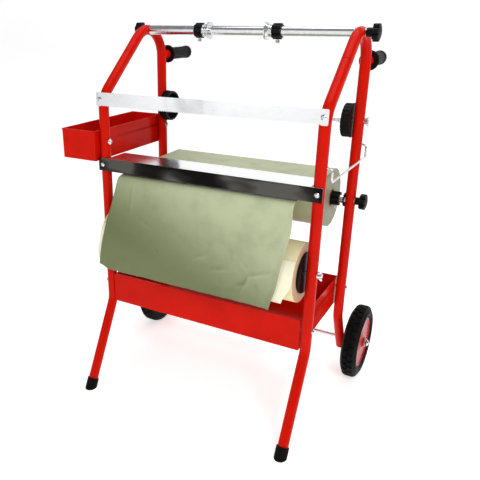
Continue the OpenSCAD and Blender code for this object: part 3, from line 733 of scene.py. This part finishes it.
class TROLLEY_OT_rods(bpy.types.Operator):
    """Plates the rods, the wire rail, the axle and every fastener"""

    bl_idname = "trolley.rods"
    bl_label = "Rods and fasteners"

    def execute(self, context):
        chrome = bright_plating(tuple(colours_of(context).plating))
        dress(chrome, "top_rod", "roll_rod", "side_rail", "wheel_axle", "axle_caps")
        dress(chrome, "cutter_screws", "side_tray_bolts", "bottom_tray_bolts", "film_bolts", "tape_bolts")
        dress(chrome, "film_nut_left", "film_wing_nut", *both("tape_wing_nut"))
        for name in ("top_cone", "rod_cone", "top_screw", "rod_screw"):
            dress(chrome, *both(name))
        return {"FINISHED"}


class TROLLEY_OT_strips(bpy.types.Operator):
    """Polishes the cutting strips"""

    bl_idname = "trolley.strips"
    bl_label = "Cutting strips"

    def execute(self, context):
        colours = colours_of(context)
        dress(polished_strip(tuple(colours.steel)), "upper_cutter")
        # the lower strip's front face gets a painted reflection with patches
        dress(angle_painted_reflection(tuple(colours.steel), tuple(colours.painted_dark_face)), "lower_cutter")
        ease_edges(["lower_cutter"], 0.3)
        return {"FINISHED"}


class TROLLEY_OT_mouldings(bpy.types.Operator):
    """Finishes the knobs, collars, hubs, spacers and grips"""

    bl_idname = "trolley.mouldings"
    bl_label = "Knobs, hubs and grips"

    def execute(self, context):
        black = tuple(colours_of(context).moulded_black)
        nylon = moulded_nylon(black)
        for name in ("top_knob", "rod_knob", "top_collar", "rod_collar", "roll_hub", "tape_hub"):
            dress(nylon, *both(name))
        dress(nylon, "rod_washers", "axle_spacers")
        dress(grip_vinyl(black), *both("grip"))
        return {"FINISHED"}


class TROLLEY_OT_wheels(bpy.types.Operator):
    """Finishes the tyres, rims and foot boots"""

    bl_idname = "trolley.wheels"
    bl_label = "Wheels and feet"

    def execute(self, context):
        colours = colours_of(context)
        dress(tyre_rubber(tuple(colours.rubber)), *both("tyre"), "foot_caps")
        dress(rim_enamel(tuple(colours.rim_red)), *both("wheel_rim"))
        return {"FINISHED"}


class TROLLEY_OT_rolls(bpy.types.Operator):
    """Finishes the wound rolls and their board cores"""

    bl_idname = "trolley.rolls"
    bl_label = "Rolls and cores"

    def execute(self, context):
        colours = colours_of(context)
        green, cream = tuple(colours.paper_green), tuple(colours.film_cream)
        paper = wound_paper("Paper_masking_green_wound", green, linear("9aa083"), PAPER_AXIS, 1.2)
        film = wound_paper("Film_cream_wound", cream, linear("d9b48e"), FILM_AXIS, 1.0)
        dress(paper, "paper_roll")
        dress(film, "film_roll")
        dress(spiral_board(tuple(colours.board)), "paper_core", "film_core")
        return {"FINISHED"}


class TROLLEY_OT_drawn_paper(bpy.types.Operator):
    """Draws the green paper off its roll and hangs it under the lower strip"""

    bl_idname = "trolley.drawn_paper"
    bl_label = "Drawn-off paper"

    def execute(self, context):
        sheet = hanging_paper(sizes_of(context))
        colours = colours_of(context)
        # painted shade on the hanging paper, reckoned from its left edge at the cutting strip
        edge = PAPER_LOW.x + PAPER_SLOPE * STRIP_LOW.z
        paper = coated_paper(
            "Paper_masking_green_sheet",
            tuple(colours.paper_green),
            45,
            tuple(colours.paper_painted_shade),
            PAPER_SLOPE,
            (edge - PAINTED_SHADE_REACH, edge + PLAIN_REACH),
        )
        sheet.data.materials.append(paper)
        return {"FINISHED"}


class TROLLEY_OT_loose_film(bpy.types.Operator):
    """Hangs the film's loose end in front of its roll"""

    bl_idname = "trolley.loose_film"
    bl_label = "Loose film"

    def execute(self, context):
        flap = loose_film(sizes_of(context))
        flap.data.materials.append(coated_paper("Film_cream_sheet", linear("f3eed2"), 60))
        return {"FINISHED"}


class TROLLEY_OT_stage(bpy.types.Operator):
    """Sets the floor, the lights and the camera"""

    bl_idname = "trolley.stage"
    bl_label = "Studio"

    def execute(self, context):
        studio_floor()
        studio_light()
        studio_camera()
        context.scene.view_settings.view_transform = "Standard"
        return {"FINISHED"}


STEPS = (
    TROLLEY_OT_stage,
    TROLLEY_OT_frame,
    TROLLEY_OT_rods,
    TROLLEY_OT_strips,
    TROLLEY_OT_mouldings,
    TROLLEY_OT_wheels,
    TROLLEY_OT_rolls,
    TROLLEY_OT_drawn_paper,
    TROLLEY_OT_loose_film,
)


class TROLLEY_PT_panel(bpy.types.Panel):
    """Lists the trolley's steps, sizes and colours"""

    bl_idname = "TROLLEY_PT_panel"
    bl_label = "Roll dispenser trolley"
    bl_space_type = "VIEW_3D"
    bl_region_type = "UI"
    bl_category = "Trolley"

    def draw(self, context):
        for step in STEPS:
            self.layout.operator(step.bl_idname)
        for group in (context.scene.trolley_sizes, context.scene.trolley_colours):
            box = self.layout.box()
            for key in group.__annotations__:
                box.prop(group, key)


CLASSES = (TrolleySizes, TrolleyColours, *STEPS, TROLLEY_PT_panel)


def register():
    for cls in CLASSES:
        bpy.utils.register_class(cls)
    bpy.types.Scene.trolley_sizes = bpy.props.PointerProperty(type=TrolleySizes)
    bpy.types.Scene.trolley_colours = bpy.props.PointerProperty(type=TrolleyColours)


def unregister():
    del bpy.types.Scene.trolley_colours
    del bpy.types.Scene.trolley_sizes
    for cls in reversed(CLASSES):
        bpy.utils.unregister_class(cls)


def main():
    register()
    for step in STEPS:
        group, name = step.bl_idname.split(".")
        getattr(getattr(bpy.ops, group), name)()


if __name__ == "__main__":
    main()
